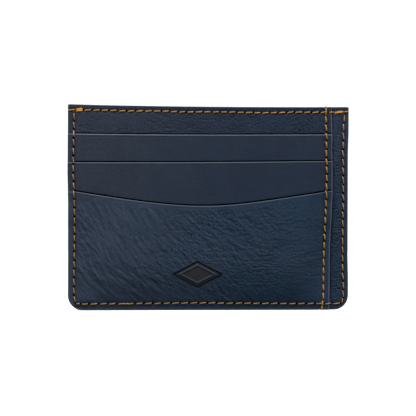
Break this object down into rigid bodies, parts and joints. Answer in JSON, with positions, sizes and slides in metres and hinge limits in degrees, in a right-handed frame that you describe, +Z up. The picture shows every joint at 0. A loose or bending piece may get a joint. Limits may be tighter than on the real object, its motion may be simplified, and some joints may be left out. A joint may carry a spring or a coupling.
{
  "type": "card holder",
  "caption": "Slim leather card holder with stepped card pockets in front, a dipped mouth on the lowest, a plain strip at one side and a full-width compartment open at the top.",
  "frame": {"origin": "middle of the bottom edge, under the middle of the thickness", "axes": "+Z up towards the pocket mouths, -Y out of the pocketed front face, +X to the right seen from the front"},
  "size_m": [0.1, 0.0082, 0.073],
  "materials": {
    "smooth_leather": "smooth dyed nappa, satin",
    "pebbled_leather": "tumbled grain, satin",
    "lining_cloth": "fine twill, matte",
    "tan_thread": "twisted polyester thread"
  },
  "bodies": {
    "root": {"back_panel": "pebbled_leather", "back_lining": "lining_cloth", "front_lining": "lining_cloth", "base_panel": "smooth_leather", "slot_panel": "smooth_leather", "upper_pocket_lining": "lining_cloth", "upper_pocket": "smooth_leather", "middle_pocket_lining": "lining_cloth", "middle_pocket": "smooth_leather", "front_pocket_lining": "lining_cloth", "front_pocket": "pebbled_leather", "stack_seam_needle_thread": "tan_thread", "stack_seam_bobbin_thread": "tan_thread", "top_seam_needle_thread": "tan_thread", "top_seam_bobbin_thread": "tan_thread", "edge_seam_needle_thread": "tan_thread", "edge_seam_bobbin_thread": "tan_thread", "back_top_seam_needle_thread": "tan_thread", "back_top_seam_bobbin_thread": "tan_thread", "upper_pocket_seam_thread": "tan_thread", "middle_pocket_seam_thread": "tan_thread"}
  },
  "joints": []
}
